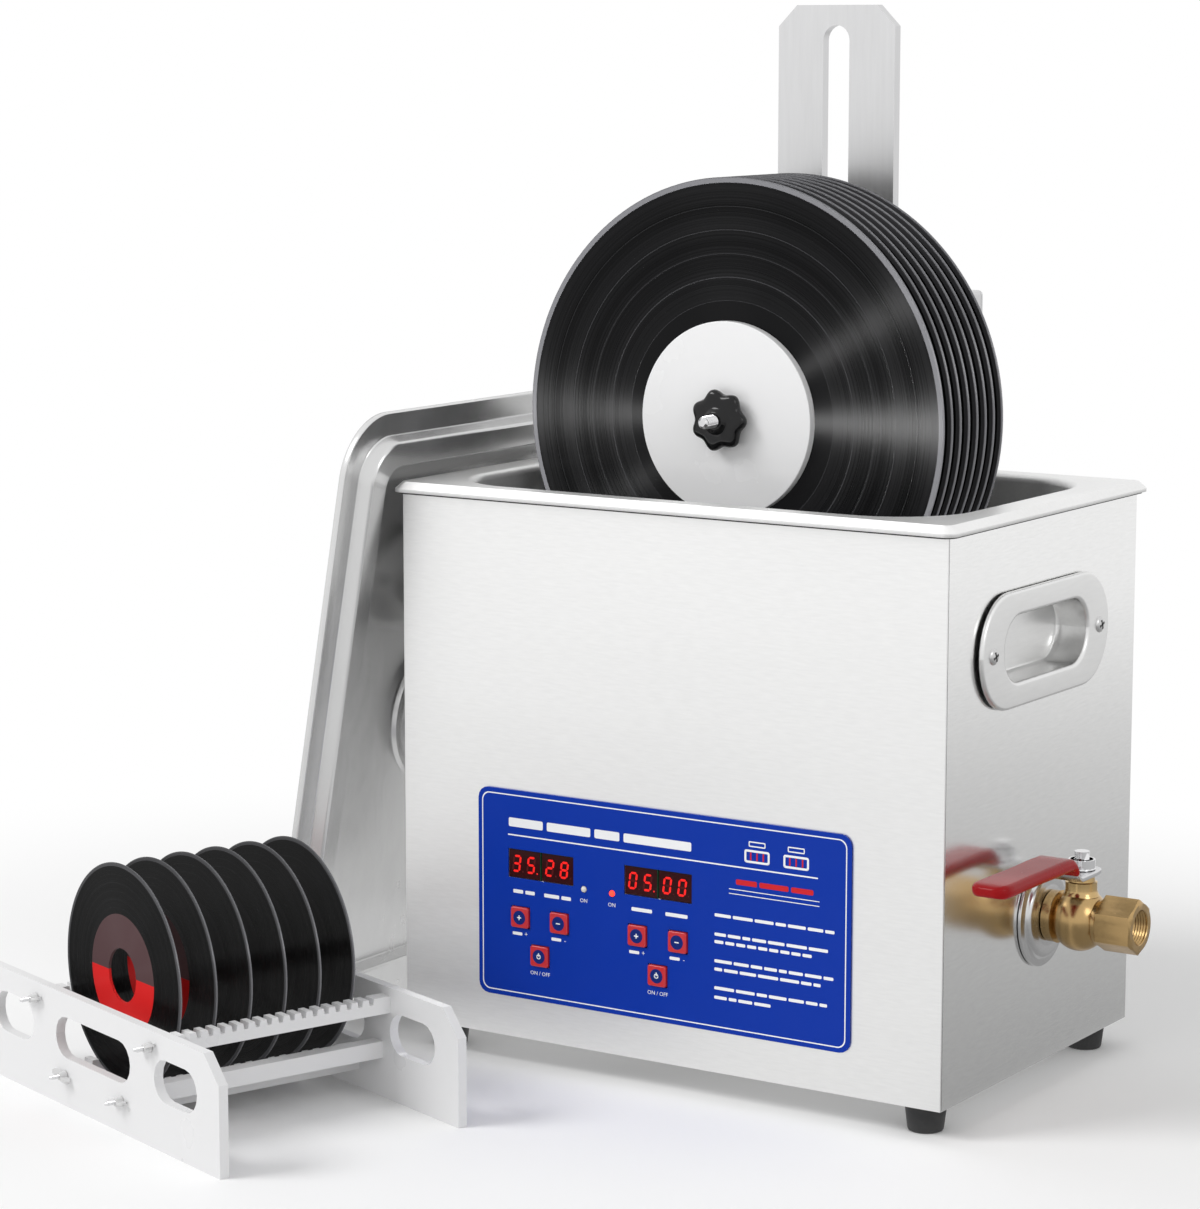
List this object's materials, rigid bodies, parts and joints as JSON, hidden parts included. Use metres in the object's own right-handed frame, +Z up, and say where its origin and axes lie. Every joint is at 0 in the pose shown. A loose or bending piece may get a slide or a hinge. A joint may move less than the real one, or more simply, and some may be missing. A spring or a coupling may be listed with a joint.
{
  "type": "ultrasonic record cleaning machine",
  "caption": "Rectangular steel ultrasonic bath on feet with a slotted upright, a motor-turned spindle of records, side drain valve, leaning lid and a small disc rack.",
  "frame": {"origin": "on the table, under the middle of the whole set of machine, lid and rack", "axes": "+Z up; -Y is the machine's front with its control panel; +X is its side with the drain valve"},
  "size_m": [0.5341, 0.4648, 0.543],
  "materials": {
    "base_plate": "brushed stainless sheet",
    "casing_wrap": "brushed stainless sheet",
    "front_panel": "brushed stainless sheet",
    "foot_front_left": "black rubber",
    "foot_front_right": "black rubber",
    "foot_back_left": "black rubber",
    "foot_back_right": "black rubber",
    "tank": "brushed stainless sheet",
    "transducer_left": "fine satin aluminium",
    "transducer_right": "fine satin aluminium",
    "heater_mat": "red silicone",
    "generator_board": "green circuit board with its parts",
    "control_panel": "printed blue film with white lines",
    "display_board": "green board with dark red digit displays",
    "right_handle": "brushed stainless sheet",
    "left_handle": "brushed stainless sheet",
    "drain_elbow": "bare brass",
    "valve_flange": "polished stainless steel",
    "valve_body": "bare brass",
    "valve_ball_stem": "chromed brass and zinc-plated nut",
    "valve_lever": "red vinyl dip over steel",
    "power_inlet": "black plastic",
    "switch_frame": "black plastic",
    "power_switch": "red plastic",
    "fan_frame": "black plastic",
    "fan_rotor": "black plastic",
    "mast_bracket": "fine satin aluminium",
    "mast": "fine satin aluminium",
    "motor_box": "brushed stainless sheet",
    "motor_box_cover": "brushed stainless sheet",
    "gear_motor": "brushed stainless sheet",
    "lift_clamp_knob": "black plastic",
    "spindle": "brushed stainless sheet",
    "front_label_disc": "white plastic with a seal round its edge",
    "rear_label_disc": "white plastic with a seal round its edge",
    "spindle_knob": "glossy black plastic",
    "lid": "polished stainless steel",
    "lid_handle": "polished stainless steel",
    "rack_front_plate": "white acrylic",
    "rack_rear_plate": "white acrylic",
    "key_heat_up": "red plastic with a dark blue centre",
    "key_heat_down": "red plastic with a dark blue centre",
    "key_heat_power": "red plastic with a dark blue centre",
    "key_time_up": "red plastic with a dark blue centre",
    "key_time_down": "red plastic with a dark blue centre",
    "key_time_power": "red plastic with a dark blue centre",
    "record_1": "grooved black vinyl",
    "record_2": "grooved black vinyl",
    "record_3": "grooved black vinyl",
    "record_4": "grooved black vinyl",
    "record_5": "grooved black vinyl",
    "record_6": "grooved black vinyl",
    "record_7": "grooved black vinyl",
    "record_8": "grooved black vinyl",
    "small_disc_1": "grooved black vinyl with a paper centre",
    "small_disc_2": "grooved black vinyl with a paper centre",
    "small_disc_3": "grooved black vinyl with a paper centre",
    "small_disc_4": "grooved black vinyl with a paper centre",
    "small_disc_5": "grooved black vinyl with a paper centre",
    "small_disc_6": "grooved black vinyl with a paper centre"
  },
  "bodies": {
    "machine": {"base_plate": "base_plate", "casing_wrap": "casing_wrap", "front_panel": "front_panel", "foot_front_left": "foot_front_left", "foot_front_right": "foot_front_right", "foot_back_left": "foot_back_left", "foot_back_right": "foot_back_right", "tank": "tank", "transducer_left": "transducer_left", "transducer_right": "transducer_right", "heater_mat": "heater_mat", "generator_board": "generator_board", "control_panel": "control_panel", "display_board": "display_board", "right_handle": "right_handle", "left_handle": "left_handle", "drain_elbow": "drain_elbow", "valve_flange": "valve_flange", "valve_body": "valve_body", "power_inlet": "power_inlet", "switch_frame": "switch_frame", "fan_frame": "fan_frame", "mast_bracket": "mast_bracket", "mast": "mast"},
    "key_heat_up": {"key_heat_up": "key_heat_up"},
    "key_heat_down": {"key_heat_down": "key_heat_down"},
    "key_heat_power": {"key_heat_power": "key_heat_power"},
    "key_time_up": {"key_time_up": "key_time_up"},
    "key_time_down": {"key_time_down": "key_time_down"},
    "key_time_power": {"key_time_power": "key_time_power"},
    "switch_rocker": {"power_switch": "power_switch"},
    "fan": {"fan_rotor": "fan_rotor"},
    "drain_valve": {"valve_ball_stem": "valve_ball_stem", "valve_lever": "valve_lever"},
    "lift": {"motor_box": "motor_box", "motor_box_cover": "motor_box_cover", "gear_motor": "gear_motor"},
    "lift_clamp": {"lift_clamp_knob": "lift_clamp_knob"},
    "turning_spindle": {"spindle": "spindle", "front_label_disc": "front_label_disc", "rear_label_disc": "rear_label_disc", "record_1": "record_1", "record_2": "record_2", "record_3": "record_3", "record_4": "record_4", "record_5": "record_5", "record_6": "record_6", "record_7": "record_7", "record_8": "record_8"},
    "disc_clamp": {"spindle_knob": "spindle_knob"},
    "lid_set_aside": {"lid": "lid", "lid_handle": "lid_handle"},
    "disc_rack": {"rack_front_plate": "rack_front_plate", "rack_rear_plate": "rack_rear_plate"},
    "rack_disc_1": {"small_disc_1": "small_disc_1"},
    "rack_disc_2": {"small_disc_2": "small_disc_2"},
    "rack_disc_3": {"small_disc_3": "small_disc_3"},
    "rack_disc_4": {"small_disc_4": "small_disc_4"},
    "rack_disc_5": {"small_disc_5": "small_disc_5"},
    "rack_disc_6": {"small_disc_6": "small_disc_6"}
  },
  "joints": [
    {"name": "key_heat_up_press", "type": "slide", "parent": "machine", "child": "key_heat_up", "axis": [0, 1, 0], "range_m": [0, 0.0008], "stiffness_N_per_m": 500, "springref_m": -0.001},
    {"name": "key_heat_down_press", "type": "slide", "parent": "machine", "child": "key_heat_down", "axis": [0, 1, 0], "range_m": [0, 0.0008], "stiffness_N_per_m": 500, "springref_m": -0.001},
    {"name": "key_heat_power_press", "type": "slide", "parent": "machine", "child": "key_heat_power", "axis": [0, 1, 0], "range_m": [0, 0.0008], "stiffness_N_per_m": 500, "springref_m": -0.001},
    {"name": "key_time_up_press", "type": "slide", "parent": "machine", "child": "key_time_up", "axis": [0, 1, 0], "range_m": [0, 0.0008], "stiffness_N_per_m": 500, "springref_m": -0.001},
    {"name": "key_time_down_press", "type": "slide", "parent": "machine", "child": "key_time_down", "axis": [0, 1, 0], "range_m": [0, 0.0008], "stiffness_N_per_m": 500, "springref_m": -0.001},
    {"name": "key_time_power_press", "type": "slide", "parent": "machine", "child": "key_time_power", "axis": [0, 1, 0], "range_m": [0, 0.0008], "stiffness_N_per_m": 500, "springref_m": -0.001},
    {"name": "power_switch_rock", "type": "hinge", "parent": "machine", "child": "switch_rocker", "pos_m": [0.1215, 0.21305, 0.06], "axis": [1, 0, 0], "range_deg": [-18, 0]},
    {"name": "fan_spin", "type": "hinge", "parent": "machine", "child": "fan", "pos_m": [-0.0295, 0.2042, 0.06], "axis": [0, 1, 0], "continuous": true},
    {"name": "drain_valve_turn", "type": "hinge", "parent": "machine", "child": "drain_valve", "pos_m": [0.2361, 0.106, 0.092], "axis": [0, 0, 1], "range_deg": [0, 90]},
    {"name": "lift_slide", "type": "slide", "parent": "machine", "child": "lift", "axis": [0, 0, 1], "range_m": [0, 0.14]},
    {"name": "lift_clamp_turn", "type": "hinge", "parent": "lift", "child": "lift_clamp", "pos_m": [0.0465, 0.1788, 0.376], "axis": [0, -1, 0], "range_deg": [0, 270]},
    {"name": "spindle_turn", "type": "hinge", "parent": "lift", "child": "turning_spindle", "pos_m": [0.0465, 0.106, 0.334], "axis": [0, 1, 0], "continuous": true},
    {"name": "disc_clamp_turn", "type": "hinge", "parent": "turning_spindle", "child": "disc_clamp", "pos_m": [0.0465, 0.0687, 0.334], "axis": [0, -1, 0], "continuous": true},
    {"name": "lid_lift_off", "type": "slide", "parent": "machine", "child": "lid_set_aside", "axis": [0, 0, 1], "range_m": [0, 0.25]},
    {"name": "rack_lift_off", "type": "slide", "parent": "machine", "child": "disc_rack", "axis": [0, 0, 1], "range_m": [0, 0.15]},
    {"name": "rack_disc_1_lift", "type": "slide", "parent": "disc_rack", "child": "rack_disc_1", "axis": [0, 0, 1], "range_m": [0, 0.12]},
    {"name": "rack_disc_2_lift", "type": "slide", "parent": "disc_rack", "child": "rack_disc_2", "axis": [0, 0, 1], "range_m": [0, 0.12]},
    {"name": "rack_disc_3_lift", "type": "slide", "parent": "disc_rack", "child": "rack_disc_3", "axis": [0, 0, 1], "range_m": [0, 0.12]},
    {"name": "rack_disc_4_lift", "type": "slide", "parent": "disc_rack", "child": "rack_disc_4", "axis": [0, 0, 1], "range_m": [0, 0.12]},
    {"name": "rack_disc_5_lift", "type": "slide", "parent": "disc_rack", "child": "rack_disc_5", "axis": [0, 0, 1], "range_m": [0, 0.12]},
    {"name": "rack_disc_6_lift", "type": "slide", "parent": "disc_rack", "child": "rack_disc_6", "axis": [0, 0, 1], "range_m": [0, 0.12]}
  ]
}
